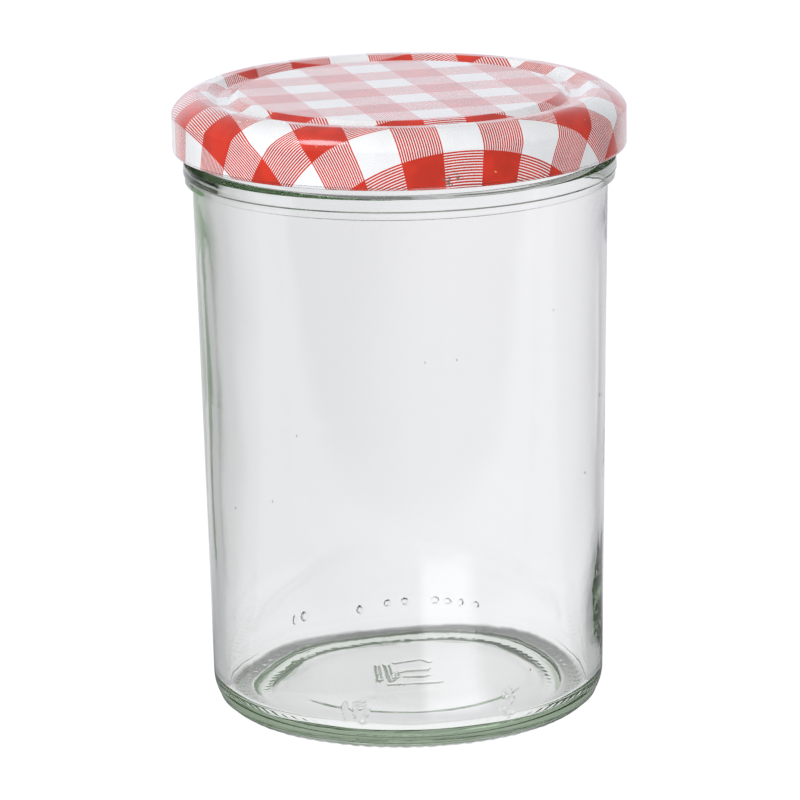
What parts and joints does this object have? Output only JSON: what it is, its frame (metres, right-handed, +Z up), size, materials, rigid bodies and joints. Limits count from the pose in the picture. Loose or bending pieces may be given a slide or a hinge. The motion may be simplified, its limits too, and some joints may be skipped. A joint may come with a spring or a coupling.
{
  "type": "preserving jar",
  "caption": "Empty straight-sided clear glass preserving jar with a neck bead, closed by a red and white checked metal twist-off lid.",
  "frame": {"origin": "middle of the base, on the surface that the jar stands on", "axes": "+Z up along the jar's axis; the picture's camera looks along +Y from the -Y side"},
  "size_m": [0.086, 0.086, 0.12],
  "materials": {
    "glass_jar": "clear pressed glass, faintly green through its thickness",
    "twist_lid": "glossy lacquered tinplate, red and white check"
  },
  "bodies": {
    "root": {"glass_jar": "glass_jar", "twist_lid": "twist_lid"}
  },
  "joints": []
}
